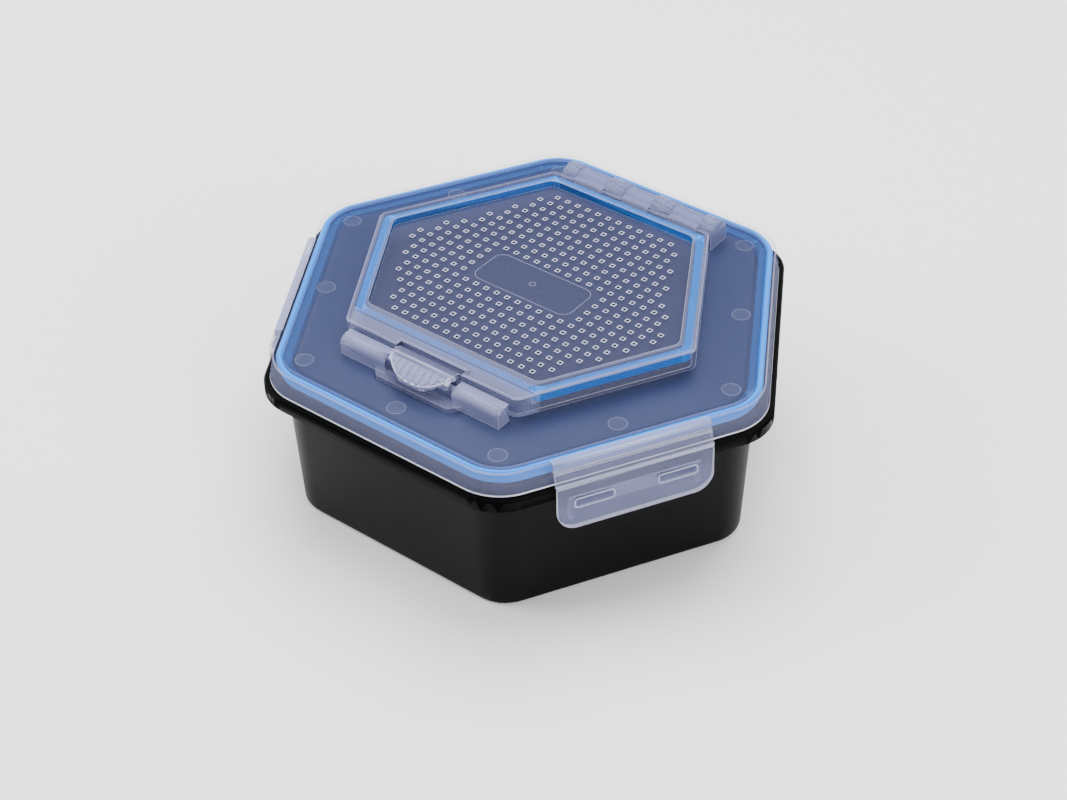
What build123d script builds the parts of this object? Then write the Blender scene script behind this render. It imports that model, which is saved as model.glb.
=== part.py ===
from build123d import *

import os
from math import atan2, ceil, cos, degrees, radians, sin

# Hexagonal bait box. Millimetres, +Z up, origin at the centre of the tub's underside.
# The flat side at +Y is the back, with the hatch hinge. The one at -Y is the front, with the
# thumb latch. A side's place is its apothem, the distance from the centre to the flat side.

# Tub
tub_height = 47.9
foot_apothem = 67.0
rim_apothem = 69.0
rim_corner = 14.5
tub_wall = 1.8
tub_floor = 1.8
foot_round = 2.0
flange_reach = 6.0
flange_corner = 15.6
flange_plate = 1.5
lip_depth = 4.2
lip_wall = 1.5
lip_bevel = 0.6

# Lid
lid_gap = 0.3
skirt_height = 7.2
skirt_setback = 3.0
skirt_flare = 1.4
skirt_corner = 16.8
skirt_bevel = 0.4
lid_wall = 1.3
border_width = 3.1
border_rise = 0.9
plug_gap = 0.4
plug_wall = 1.2
plug_depth = 4.4

# Seals
seal_gap = 0.1
lid_seal_width = 3.8
lid_seal_height = 2.4
hatch_seal_height = 3.2

# Hatch
hatch_apothem = 51.4
hatch_front = 48.2
hatch_corner = 3.3
hatch_height = 8.4
hatch_gap = 1.8
hatch_wall = 1.4
hatch_top_wall = 1.0
hatch_bevel = 0.5
rim_width = 4.8
front_rim_width = 10.0
inner_wall = 1.0
mesh_depth = 2.5
mesh_thickness = 1.2
collar_gap = 0.4
collar_wall = 1.5

# Ventilation mesh
hole_pitch = 3.95
hole_width = 1.2
hole_margin = 5.0
back_margin = 4.5
front_margin = 4.0
plain_width = 40.0
plain_depth = 16.0
plain_offset = 0.6

# Hatch hinge
hinge_setback = 6.5
hinge_rise = 4.1
knuckle_radius = 4.3
span_radius = 3.8
bar_radius = 1.6
bar_clearance = 0.05
side_clearance = 0.2
mouth_width = 2.6
inner_knuckle = (5.2, 12.5)
outer_knuckle = (23.6, 28.8)
leaf_thickness = 1.5
leaf_dip = 1.2
leaf_angle = 110

# Thumb latch
recess_half_width = 12.0
recess_depth = 2.3
tongue_half_width = 11.0
sheet = 1.2
crown_reach = 2.6
crown_drop = 0.7
visor_reach = 6.5
visor_drop = 3.6
visor_corner_reach = 6.0
visor_corner_round = 0.8
rise_reach_share = 0.38
rise_height_share = 0.6
sag_reach_share = 0.5
sag_drop_share = 0.3
socket_clearance = 0.05
grip_rib_pitch = 2.4
grip_rib_width = 0.9
grip_rib_height = 0.3
hook_clearance = 0.15
hook_depth = 1.6
hook_wall = 0.9

# Latch surround on the lid
shoulder_inner = 12.5
shoulder_outer = 29.3
shoulder_gap = 0.3
shoulder_depth = 4.9
shoulder_height = 6.0
shoulder_round = 2.4
catch_wall = 1.1
catch_height = 5.0
catch_reach = 3.2
catch_bead = 0.6
ledge_half_width = 16.5
ledge_reach = 8.4
ledge_corner = 2.5
ledge_height = 1.7
ledge_bevel = 0.7

# Side clips
clip_angles = {"right": -30, "left": 210}
clip_half_width = 24.0
root_overhang = 1.65
root_rise = 0.3
root_round = 0.9
root_lip_rise = 1.1
root_seat_end = 80
upper_pin_drop = 3.0
upper_pin_reach = 1.0
upper_bead = 0.75
lower_pin_rise = 0.5
lower_pin_reach = 0.5
lower_bead = 0.6
bead_clearance = 0.05
link_thickness = 1.1
link_socket_wall = 0.4
link_socket_from = 55
link_socket_to = 185
flap_gap = 0.4
neck_drop = 0.3
neck_angle = -55
flap_length = 14.4
flap_top_thickness = 0.7
flap_foot_thickness = 1.4
flap_corner = 6.0
catch_tip_reach = 1.1
catch_clearance = 0.3
catch_slope = 60
catch_nose = 0.8
catch_half_width = 20.2
gusset_wall = 1.2
gusset_depth = 4.2
window_width = 11.4
window_height = 2.3
window_offset = 12.8
window_drop = 0.45

# Heights that follow
lip_bottom = tub_height - lip_depth
skirt_bottom = tub_height + lid_gap
lid_top = skirt_bottom + skirt_height
panel_top = lid_top - border_rise
panel_bottom = panel_top - lid_wall
lid_seal_bottom = panel_bottom - lid_seal_height
tub_rim_top = lid_seal_bottom - seal_gap
hatch_top = panel_top + hatch_height
hatch_bottom = panel_top + hatch_gap
hatch_ceiling = hatch_top - hatch_top_wall
hatch_seal_bottom = hatch_ceiling - hatch_seal_height
collar_top = hatch_seal_bottom - seal_gap
mesh_top = hatch_top - mesh_depth
mesh_bottom = mesh_top - mesh_thickness

# Apothems that follow
tub_inner = rim_apothem - tub_wall
tub_inner_corner = rim_corner - tub_wall
plug_outer = tub_inner - plug_gap
plug_corner = tub_inner_corner - plug_gap
flange_apothem = rim_apothem + flange_reach
skirt_top_apothem = flange_apothem - skirt_setback
skirt_foot_apothem = skirt_top_apothem + skirt_flare
border_inner = skirt_top_apothem - border_width
well_side = hatch_apothem - rim_width
well_front = hatch_front - front_rim_width
well_corner = hatch_corner
seal_side = well_side + inner_wall
seal_front = well_front + inner_wall
seal_outer = hatch_apothem - hatch_wall
front_seal_width = seal_outer - seal_side
collar_side = seal_side + collar_gap
collar_front = seal_front + collar_gap

# Hinge, latch and clip lines that follow
hinge_y = hatch_apothem + hinge_setback
hinge_z = panel_top + hinge_rise
recess_front = hatch_front - recess_depth
crown_y = -(hatch_front + crown_reach)
crown_z = hatch_top - crown_drop
catch_y = -(hatch_front + catch_reach)
clip_top = lid_top + root_rise
upper_pin_z = lid_top - upper_pin_drop
lower_pin_z = tub_height + lower_pin_rise
flap_inner = flange_apothem + flap_gap
lower_pin_a = flange_apothem + lower_pin_reach
flap_bottom = tub_height - flap_length


def skirt_apothem(z):
    """Apothem of the lid skirt's outer face at a height."""
    return skirt_foot_apothem - skirt_flare * (z - skirt_bottom) / skirt_height


upper_pin_a = skirt_apothem(upper_pin_z) + upper_pin_reach


def side_crossing(angle, near, far):
    """Corner between the side whose normal is at the angle and the next one round."""
    first = radians(angle)
    second = radians(angle + 60)
    spread = sin(second - first)
    x = (near * sin(second) - far * sin(first)) / spread
    y = (far * cos(first) - near * cos(second)) / spread
    return (x, y)


def hexagon(apothem, corner, front=None):
    """Rounded hexagon with flat sides at +Y and -Y. The -Y side may have its own apothem."""
    reach = {angle: apothem for angle in range(30, 390, 60)}
    if front is not None:
        reach[270] = front
    corners = []
    for angle in range(30, 390, 60):
        following = angle + 60 if angle < 330 else 30
        corners.append(side_crossing(angle, reach[angle], reach[following]))
    outline = Polygon(*corners, align=None)
    return fillet(outline.vertices(), corner)


def slab(outline, low, high):
    """Straight solid on an outline between two heights."""
    return Pos(0, 0, low) * extrude(outline, amount=high - low)


def drafted(outline, low, high, growth):
    """Solid on an outline whose sides lean outwards by the growth on the way up."""
    height = high - low
    return Pos(0, 0, low) * extrude(outline, amount=height, taper=-degrees(atan2(growth, height)))


def lowest(solid):
    return solid.edges().group_by(Axis.Z)[0]


def highest(solid):
    return solid.edges().group_by(Axis.Z)[-1]


def across(profile, half_width):
    """Solid from a profile drawn in Y and Z, as wide each way along X."""
    return extrude(Plane.YZ * profile, amount=half_width, both=True)


def between(profile, near, far):
    """Two mirrored solids from a profile in Y and Z, between two distances from the middle."""
    one = Pos(near, 0, 0) * extrude(Plane.YZ * profile, amount=far - near)
    return [one, mirror(one, about=Plane.YZ)]


def on_arc(centre, radius, angle):
    return (centre[0] + radius * cos(radians(angle)), centre[1] + radius * sin(radians(angle)))


def side_place(angle):
    """Turns what was built on the +Y side to the side whose normal is at the angle."""
    return Rot(0, 0, angle - 90)


def tub():
    """Open hexagonal tub with drafted walls, a down-turned flange and a sealing rim above it."""
    growth = rim_apothem - foot_apothem
    body = drafted(hexagon(foot_apothem, rim_corner - growth), 0, lip_bottom, growth)
    body = fillet(lowest(body), foot_round)
    body += slab(hexagon(rim_apothem, rim_corner), lip_bottom, tub_rim_top)
    flange = slab(hexagon(flange_apothem, flange_corner), lip_bottom, tub_height)
    flange = chamfer(highest(flange) + lowest(flange), lip_bevel)
    channel = hexagon(flange_apothem - lip_wall, flange_corner - lip_wall)
    flange -= slab(channel, lip_bottom, tub_height - flange_plate)
    body += flange
    hollow_foot = hexagon(foot_apothem - tub_wall, rim_corner - growth - tub_wall)
    hollow = drafted(hollow_foot, 0, lip_bottom, growth)
    hollow += slab(hexagon(tub_inner, tub_inner_corner), lip_bottom, tub_rim_top)
    below_floor = slab(Rectangle(2 * flange_apothem, 2 * flange_apothem), 0, tub_floor)
    return body - (hollow - below_floor)


def main_seal():
    """Ring that lies in the lid's channel, outside the plug, and meets the tub's rim."""
    ring = hexagon(plug_outer + lid_seal_width, plug_corner + lid_seal_width)
    ring -= hexagon(plug_outer, plug_corner)
    return slab(ring, lid_seal_bottom, panel_bottom)


def lid_shell():
    """Lid panel with its raised border, flared skirt and plug wall."""
    skirt = drafted(hexagon(skirt_foot_apothem, skirt_corner), skirt_bottom, lid_top, -skirt_flare)
    skirt = chamfer(highest(skirt), skirt_bevel)
    inside = hexagon(skirt_foot_apothem - lid_wall, skirt_corner - lid_wall)
    inside_rise = panel_bottom - skirt_bottom
    lean = -skirt_flare * inside_rise / skirt_height
    shell = skirt - drafted(inside, skirt_bottom, panel_bottom, lean)
    shell -= slab(hexagon(border_inner, skirt_corner - skirt_flare - border_width), panel_top, lid_top)
    plug = hexagon(plug_outer, plug_corner) - hexagon(plug_outer - plug_wall, plug_corner - plug_wall)
    return shell + slab(plug, panel_bottom - plug_depth, panel_bottom)


def lid_collar(shell):
    """Cuts the hatch opening and stands the collar round it that meets the hatch seal."""
    opening = hexagon(collar_side, well_corner, collar_front)
    outside = hexagon(collar_side + collar_wall, well_corner + collar_wall, collar_front + collar_wall)
    shell += slab(outside, panel_bottom, collar_top)
    return shell - slab(opening, panel_bottom, collar_top)


def hinge_knuckles():
    """Four knuckles that stand on the lid, with the round bar that runs through them."""
    block = Pos(hinge_y, hinge_z) * Circle(knuckle_radius)
    foot_height = hinge_z - panel_bottom
    block += Pos(hinge_y, hinge_z - foot_height / 2) * Rectangle(2 * knuckle_radius, foot_height)
    knuckles = between(block, *inner_knuckle) + between(block, *outer_knuckle)
    bar = across(Pos(hinge_y, hinge_z) * Circle(bar_radius), outer_knuckle[0] + bar_radius)
    return [*knuckles, bar]


def latch_surround():
    """Two shoulders, the catch wall between them and the low ledge in front, all on the lid."""
    back = -(hatch_front + shoulder_gap)
    front = back - shoulder_depth
    top = panel_top + shoulder_height
    block = Polygon((back, panel_bottom), (back, top), (front, top), (front, panel_bottom), align=None)
    crest = block.vertices().group_by(Axis.Y)[-1].sort_by(Axis.X)[0]
    block = fillet(crest, shoulder_round)
    wall_top = panel_top + catch_height
    wall = Polygon((catch_y, panel_bottom), (catch_y, wall_top), (catch_y + catch_wall, wall_top),
                   (catch_y + catch_wall, panel_bottom), align=None)
    bead_z = wall_top - catch_bead
    wall += Pos(catch_y, bead_z) * Circle(catch_bead)
    ledge_front = -(hatch_front + ledge_reach)
    ledge_plan = Polygon((-ledge_half_width, catch_y), (ledge_half_width, catch_y),
                         (ledge_half_width, ledge_front), (-ledge_half_width, ledge_front), align=None)
    ledge_plan = fillet(ledge_plan.vertices().group_by(Axis.Y)[0], ledge_corner)
    ledge = slab(ledge_plan, panel_bottom, panel_top + ledge_height)
    ledge = chamfer(highest(ledge), ledge_bevel)
    shoulders = between(block, shoulder_inner, shoulder_outer)
    return [*shoulders, across(wall, shoulder_inner), ledge]


def clip_root():
    """Bar on the lid's edge that carries a clip, with a half-round seat under it."""
    pin = (upper_pin_a, upper_pin_z)
    outer = skirt_top_apothem + root_overhang + root_rise
    inner = skirt_apothem(lid_top) - lid_wall / 2
    low_inner = skirt_apothem(upper_pin_z) - lid_wall / 2
    seat = upper_bead + bead_clearance
    lip_end = on_arc(pin, seat, root_seat_end)
    block = Polygon((inner, clip_top), (outer, clip_top), (outer, pin[1] + root_lip_rise), lip_end, pin,
                    (pin[0] - seat, pin[1] - seat), (low_inner, pin[1] - seat), align=None)
    crest = block.vertices().group_by(Axis.Y)[-1].sort_by(Axis.X)[-1]
    block = fillet(crest, root_round)
    block -= Pos(*pin) * Circle(seat)
    return across(block, clip_half_width)


def main_lid():
    """Lid in one moulding: shell, hatch collar, hinge knuckles, latch surround and clip roots."""
    lid = lid_collar(lid_shell())
    for piece in hinge_knuckles() + latch_surround():
        lid += piece
    for angle in clip_angles.values():
        lid += side_place(angle) * clip_root()
    return lid


def recess_cut(extra):
    """Plan of the recess for the latch in the hatch's front wall, grown by a wall or not at all."""
    depth = recess_depth + hatch_wall
    middle = -(recess_front - extra) - depth / 2
    return Pos(0, middle) * Rectangle(2 * (recess_half_width + extra), depth)


def mesh_panel():
    """Perforated floor of the hatch, a square grid of square holes with a plain middle."""
    panel = hexagon(seal_side, well_corner + inner_wall, seal_front)
    columns = ceil(well_side / cos(radians(30)) / hole_pitch)
    back_row = well_side - back_margin
    rows = ceil((back_row + well_front - front_margin) / hole_pitch)
    holes = []
    for column in range(-columns, columns):
        x = (column + 0.5) * hole_pitch
        for row in range(rows):
            y = back_row - row * hole_pitch
            slant = abs(x) * cos(radians(30)) + abs(y) * sin(radians(30))
            plain = abs(x) < plain_width / 2 and abs(y - plain_offset) < plain_depth / 2
            if slant < well_side - hole_margin and not plain:
                holes.append(Pos(x, y) * Rectangle(hole_width, hole_width))
    return slab(panel - holes, mesh_bottom, mesh_top)


def hatch_span():
    """Section of a hatch knuckle: a hook round the bar and the dipped leaf that carries it."""
    centre = (hinge_y, hinge_z)
    edge = (hatch_apothem - hatch_wall, hatch_top)
    rim_edge = (hatch_apothem, hatch_top)
    shoulder = on_arc(centre, span_radius, leaf_angle)
    valley = ((rim_edge[0] + shoulder[0]) / 2, min(rim_edge[1], shoulder[1]) - leaf_dip)
    under = on_arc(centre, span_radius - leaf_thickness, leaf_angle)
    low_valley = (valley[0], valley[1] - leaf_thickness)
    low_edge = (edge[0], edge[1] - hatch_wall)
    top = Line(edge, rim_edge) + ThreePointArc(rim_edge, valley, shoulder)
    bottom = ThreePointArc(under, low_valley, low_edge)
    leaf = make_face([*top.edges(), Line(shoulder, under), *bottom.edges(), Line(low_edge, edge)])
    hook = Pos(*centre) * Circle(span_radius)
    mouth = Pos(hinge_y, hinge_z - span_radius / 2) * Rectangle(mouth_width, span_radius)
    bore = Pos(*centre) * Circle(bar_radius + bar_clearance)
    return hook + leaf - mouth - bore


def latch_line():
    """Centre line of the thumb tongue, from the recess wall over the crown to its lip."""
    foot = (-recess_front, hatch_bottom + sheet + sheet / 2)
    crown = (crown_y, crown_z)
    lip = (crown_y - visor_reach, crown_z - visor_drop)
    bend_z = foot[1] + rise_height_share * (crown_z - foot[1])
    rise = ThreePointArc(foot, (foot[0] - rise_reach_share * crown_reach, bend_z), crown)
    return rise, crown, lip


def tongue_inner():
    """Fixed half of the thumb tongue, ending at the crown in a half-round socket."""
    rise, crown, _ = latch_line()
    strip = trace(rise, sheet)
    strip -= Pos(*crown) * Circle(sheet / 2 + socket_clearance)
    beyond = Pos(crown[0] - sheet, crown[1]) * Rectangle(2 * sheet, 2 * sheet)
    return across(strip - beyond, tongue_half_width)


def vent_hatch():
    """Hatch in one moulding: outer wall, rim, well with its mesh, hinge hooks and latch tongue."""
    outline = hexagon(hatch_apothem, hatch_corner, hatch_front) - recess_cut(0)
    cover = slab(outline, hatch_bottom, hatch_top)
    cover = chamfer(highest(cover), hatch_bevel)
    hollow = hexagon(seal_outer, hatch_corner - hatch_wall, hatch_front - hatch_wall)
    cover -= slab(hollow - recess_cut(hatch_wall), hatch_bottom, hatch_ceiling)
    well = hexagon(well_side, well_corner, well_front)
    well_wall = hexagon(seal_side, well_corner + inner_wall, seal_front)
    cover += slab(well_wall, mesh_top, hatch_ceiling)
    cover -= slab(well, mesh_top, hatch_top)
    cover += mesh_panel()
    retainer = seal_retainer()
    cover += retainer
    for near, far in span_places():
        for span in between(hatch_span(), near, far):
            cover += span
    return cover + tongue_inner()


def span_places():
    """Distances from the middle between which the hatch's hinge hooks lie."""
    middle = (0, inner_knuckle[0] - side_clearance)
    outer = (inner_knuckle[1] + side_clearance, outer_knuckle[0] - side_clearance)
    return middle, outer


def seal_retainer():
    """Rib that holds the front run of the hatch seal, under the wide front rim."""
    back = -(seal_front + front_seal_width)
    strip = Pos(0, back - inner_wall / 2) * Rectangle(2 * hatch_apothem, inner_wall)
    hollow = hexagon(seal_outer, hatch_corner - hatch_wall, hatch_front - hatch_wall)
    return slab(strip & hollow, hatch_seal_bottom, hatch_ceiling)


def hatch_seal():
    """Ring between the hatch's inner and outer walls, over the lid's collar."""
    ring = hexagon(seal_outer, hatch_corner - hatch_wall, seal_front + front_seal_width)
    ring -= hexagon(seal_side, well_corner + inner_wall, seal_front)
    return slab(ring, hatch_seal_bottom, hatch_ceiling)


def lip_plan():
    """Plan of the thumb tongue, with a bowed front edge."""
    side_y = crown_y - visor_reach + visor_corner_reach
    front_y = crown_y - visor_reach
    left = (-tongue_half_width, side_y)
    right = (tongue_half_width, side_y)
    back_left = (-tongue_half_width, crown_y + sheet)
    back_right = (tongue_half_width, crown_y + sheet)
    bow = ThreePointArc(left, (0, front_y), right)
    plan = make_face([*bow.edges(), Line(right, back_right), Line(back_right, back_left),
                      Line(back_left, left)])
    return fillet(plan.vertices().group_by(Axis.Y)[0], visor_corner_round)


def thumb_latch():
    """Free half of the thumb tongue: bead, ribbed visor and the hook under it."""
    _, crown, lip = latch_line()
    middle = (crown[0] - sag_reach_share * visor_reach, crown[1] - sag_drop_share * visor_drop)
    curve = ThreePointArc(crown, middle, lip)
    strip = trace(curve, sheet) + Pos(*crown) * Circle(sheet / 2)
    hook_y = catch_y - catch_bead - hook_clearance
    hook_low = crown_z - visor_drop / 2 - hook_depth
    hook = Polygon((hook_y, crown_z - sheet), (hook_y, hook_low), (hook_y - hook_wall, hook_low),
                   (hook_y - hook_wall, crown_z - sheet), align=None)
    visor = across(strip + hook, tongue_half_width)
    ribs = trace(curve, sheet + 2 * grip_rib_height)
    below = trace(curve, sheet)
    clear_of_crown = Pos(crown[0] + grip_rib_width, crown[1]) * Rectangle(4 * sheet, 4 * sheet)
    count = int(2 * tongue_half_width / grip_rib_pitch)
    underside = Pos(0, -2 * sheet) * below
    for number in range(count):
        x = (number - (count - 1) / 2) * grip_rib_pitch
        rib = across(ribs - clear_of_crown, grip_rib_width / 2) - across(underside, grip_rib_width)
        visor += Pos(x, 0, 0) * rib
    return visor & slab(lip_plan(), panel_top, hatch_top + sheet)


def clip_link():
    """Link strip of a clip: a bead on top in the lid's seat, a socket below for the flap."""
    upper = (upper_pin_a, upper_pin_z)
    lower = (lower_pin_a, lower_pin_z)
    socket = lower_bead + bead_clearance
    reach = 3 * socket
    profile = trace(Line(upper, lower), link_thickness)
    profile += Pos(*upper) * Circle(upper_bead)
    profile += Pos(*lower) * Circle(socket + link_socket_wall)
    profile -= Pos(*lower) * Circle(socket)
    swing = Polygon(lower, on_arc(lower, reach, link_socket_from), (lower[0] + reach, lower[1] - reach),
                    (lower[0] - reach, lower[1] - reach), on_arc(lower, reach, link_socket_to), align=None)
    return across(profile - swing, clip_half_width)


def clip_catch():
    """Catch ledge under the flange lip, with a gusset at each end."""
    centre = (flange_apothem - lip_bevel, lip_bottom + lip_bevel)
    slope = radians(catch_slope)
    reach = lip_bevel + catch_clearance
    start = (centre[0] + reach * sin(slope), centre[1] - reach * cos(slope))
    tip_a = flange_apothem - catch_tip_reach
    rise = sin(slope) / cos(slope)
    tip = (tip_a, start[1] - (start[0] - tip_a) * rise)
    root = (flap_inner, start[1] + (flap_inner - start[0]) * rise)
    nose = (tip_a, tip[1] - catch_nose)
    depth = flap_inner - tip_a
    ledge = Polygon(root, tip, nose, (flap_inner, nose[1] - depth), align=None)
    gusset = Polygon((flap_inner, tip[1]), tip, (tip_a, tip[1] - gusset_depth),
                     (flap_inner, tip[1] - gusset_depth - depth), align=None)
    ends = between(gusset, catch_half_width - gusset_wall, catch_half_width)
    return [across(ledge, catch_half_width), *ends]


def clip_flap():
    """Flap of a clip: a bead in the link's socket, a tapered plate with two windows, a catch."""
    pin = (lower_pin_a, lower_pin_z)
    neck_z = lower_pin_z - lower_bead - bead_clearance
    plate = Polygon((flap_inner, flap_bottom), (flap_inner + flap_foot_thickness, flap_bottom),
                    (flap_inner + flap_top_thickness, neck_z - neck_drop),
                    on_arc(pin, lower_bead, neck_angle), pin, (flap_inner, neck_z), align=None)
    plate += Pos(*pin) * Circle(lower_bead)
    flap = across(plate, clip_half_width)
    for piece in clip_catch():
        flap += piece
    window_z = lip_bottom - window_drop - window_height / 2
    for side in (-1, 1):
        place = Pos(side * window_offset, flange_apothem, window_z)
        flap -= place * Box(window_width, 4 * flap_foot_thickness, window_height)
    return flap & flap_outline()


def flap_outline():
    """Front outline of a flap, square above and well rounded below."""
    top = lower_pin_z + lower_bead
    height = top - flap_bottom
    face = Pos(0, top - height / 2) * Rectangle(2 * clip_half_width, height)
    face = fillet(face.vertices().group_by(Axis.Y)[0], flap_corner)
    return Pos(0, flange_apothem, 0) * extrude(Plane.XZ * face, amount=4 * flap_foot_thickness, both=True)


pieces = {
    "tub": tub(),
    "main_lid": main_lid(),
    "main_seal": main_seal(),
    "vent_hatch": vent_hatch(),
    "hatch_seal": hatch_seal(),
    "thumb_latch": thumb_latch(),
}
for side, angle in clip_angles.items():
    pieces["clip_link_" + side] = side_place(angle) * clip_link()
    pieces["clip_flap_" + side] = side_place(angle) * clip_flap()

os.makedirs("parts", exist_ok=True)
for name, piece in pieces.items():
    export_step(piece, "parts/" + name + ".step")
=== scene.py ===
from functools import partial
from math import ceil, cos, radians, sin, tan

import bpy
from mathutils import Matrix, Vector


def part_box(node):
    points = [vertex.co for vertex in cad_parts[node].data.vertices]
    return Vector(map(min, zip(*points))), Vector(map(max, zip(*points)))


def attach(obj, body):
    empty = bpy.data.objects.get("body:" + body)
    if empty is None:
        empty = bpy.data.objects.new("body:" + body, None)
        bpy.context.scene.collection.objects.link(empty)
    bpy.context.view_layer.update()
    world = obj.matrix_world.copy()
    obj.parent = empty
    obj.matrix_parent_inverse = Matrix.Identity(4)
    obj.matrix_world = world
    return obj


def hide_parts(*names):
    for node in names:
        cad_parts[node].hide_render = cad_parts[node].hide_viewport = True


bl_info = {
    "name": "Bait Box",
    "version": (1, 0, 0),
    "blender": (4, 5, 0),
    "location": "View3D > Sidebar > Bait Box",
    "description": "Dresses the hexagonal bait box with its mouldings, seals and moulding marks",
    "category": "Add Mesh",
}

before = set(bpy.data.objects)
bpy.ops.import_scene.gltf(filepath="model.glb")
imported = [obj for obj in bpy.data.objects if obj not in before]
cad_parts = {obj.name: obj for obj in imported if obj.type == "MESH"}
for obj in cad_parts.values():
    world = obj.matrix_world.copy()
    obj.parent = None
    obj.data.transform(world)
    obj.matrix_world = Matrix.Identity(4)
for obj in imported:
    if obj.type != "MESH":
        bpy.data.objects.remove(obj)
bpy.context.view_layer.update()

MM = 0.001
UP = (0, 0, 1)

# The box is a hexagon with a flat side at the front. Angles run from the right towards the back.
HALF_SIDE = radians(30)
SIDES = range(30, 390, 60)
CORNERS = range(0, 360, 60)
CLIP_ANGLES = {"right": -30, "left": 210}
# The hatch's sides without its front one, where its rim is wide
HATCH_SIDES = (-30, 30, 90, 150, 210)

# Heights above the floor, and reaches, which are distances from the middle across a flat side
TUB_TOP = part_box("tub")[1].z
HATCH_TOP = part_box("vent_hatch")[1].z
HATCH_RISE = 7.5 * MM
LID_TOP = HATCH_TOP - HATCH_RISE
SEAL_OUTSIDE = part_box("hatch_seal")[1].y
SEAL_WIDTH = 2.4 * MM
SEAL_INSIDE = SEAL_OUTSIDE - SEAL_WIDTH
LID_SEAL_INSIDE = 66.8 * MM
# The lid's border turns down into its skirt beyond this reach, and the tub's rim into its flange
TURN_REACH = 69.2 * MM


def linear(hex_colour):
    """An sRGB hex colour as linear red, green and blue."""
    channels = [int(hex_colour[place:place + 2], 16) / 255 for place in (1, 3, 5)]
    return tuple(c / 12.92 if c <= 0.04045 else ((c + 0.055) / 1.055) ** 2.4 for c in channels)


def length(name, description, value):
    """A length property in metres, from a value in millimetres."""
    return bpy.props.FloatProperty(
        name=name, description=description, default=value * MM, min=0, unit="LENGTH", precision=5)


def share(name, description, value):
    """A factor between nothing and all."""
    return bpy.props.FloatProperty(
        name=name, description=description, default=value, min=0, max=1, subtype="FACTOR")


def colour(name, description, hex_colour):
    """A colour property from an sRGB hex value."""
    return bpy.props.FloatVectorProperty(
        name=name, description=description, default=linear(hex_colour), min=0, max=1, size=3,
        subtype="COLOR")


class BaitBoxFinishes(bpy.types.PropertyGroup):
    """Colours and surface values of the mouldings and seals."""

    panel: colour("Panel", "Tint of the clear polypropylene over the dark inside", "#3F486F")
    mesh: colour("Mesh", "Tint of the thinner mesh over the dark inside", "#404464")
    lilac: colour("Lilac", "Milky tint of the clear polypropylene's walls and rims", "#9CA0C8")
    dim: colour("Dim", "Tint of the clear polypropylene in the solid hinge", "#777DA8")
    milk: colour("Milk", "Tint of the clear polypropylene where it is thickest", "#8D91BA")
    # Pale is a painted highlight: near-white where a clear moulding's edge catches the light
    pale: colour("Pale", "Near-white tint where the clear moulding is edge-on", "#E6E8F6")
    # Soft is the fine rims' milky moulding with a painted highlight
    soft: colour("Soft", "Light lilac tint of the fine raised rims", "#C2C7E2")
    border_cover: share("Border cover", "How much a face of the lid's border and skirt hides", 0.13)
    window_cover: share("Window cover", "How much a face right over a seal hides", 0.03)
    rim_cover: share("Rim cover", "How much a face of the hatch's rim hides", 0.05)
    web_cover: share("Web cover", "How much a face of a middling wall hides", 0.26)
    clip_cover: share("Clip cover", "How much a face of a clip hides", 0.16)
    panel_cover: share("Panel cover", "How much a face of the flat panels hides", 0.45)
    # Thick cover also serves the painted highlight on the top bevels
    thick_cover: share("Thick cover", "How much a face of a thick wall hides", 0.6)
    dense_cover: share("Dense cover", "How much a face of the solid hinge hides", 0.6)
    mark_cover: share("Mark cover", "How much a fine moulding mark hides", 0.36)
    # Cover of the painted highlights, on edges and on the fine rims
    highlight_cover: share("Pale cover", "How much an edge-on face hides", 0.92)
    # On the clear mouldings this is also the width of the painted highlight along an edge
    edge_width: length("Edge width", "Width of the bright line along an edge", 0.22)
    black: colour("Tub moulding", "Black polypropylene of the tub", "#040405")
    # The flange's black is darker than the tub's: painted shade of the gap under the lid's skirt
    shaded_flange_black: colour("Flange", "Black polypropylene of the tub's polished flange", "#020202")
    blue: colour("Seal", "Azure silicone of the seals", "#0080E4")
    tub_grain: length("Tub grain", "Grain of the satin tub, as coarse as it needs to show", 0.35)
    grain_depth: length("Grain depth", "Depth of the tub's grain", 0.1)
    grain_strength: share("Grain strength", "How much of the grain's depth shows", 0.12)
    clear_roughness: share("Clear roughness", "Roughness of the clear mouldings", 0.3)
    tub_roughness: share("Tub roughness", "Roughness of the tub", 0.42)
    seal_roughness: share("Seal roughness", "Roughness of the seals", 0.36)
    sheen_change: share("Sheen change", "How much the roughness drifts from cloud to cloud", 0.06)
    flow_change: share("Flow change", "How much a face hides drifts from cloud to cloud", 0.1)
    clear_shine: share("Clear shine", "Strength of the clear mouldings' reflections", 0.2)
    tub_shine: share("Tub shine", "Strength of the tub's reflections", 0.07)
    # The flange's reflections are kept weaker than the tub's, as part of its painted shade
    flange_shine: share("Flange shine", "Strength of the flange's reflections", 0.03)
    seal_shine: share("Seal shine", "Strength of the seals' reflections", 0.25)
    clear_clouds: length("Clear clouds", "Size of the clouds of flow in the clear mouldings", 16.7)
    tub_clouds: length("Tub clouds", "Size of the clouds in the tub's sheen", 22.2)
    seal_clouds: length("Seal clouds", "Size of the clouds in the seals' sheen", 8.3)


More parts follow.
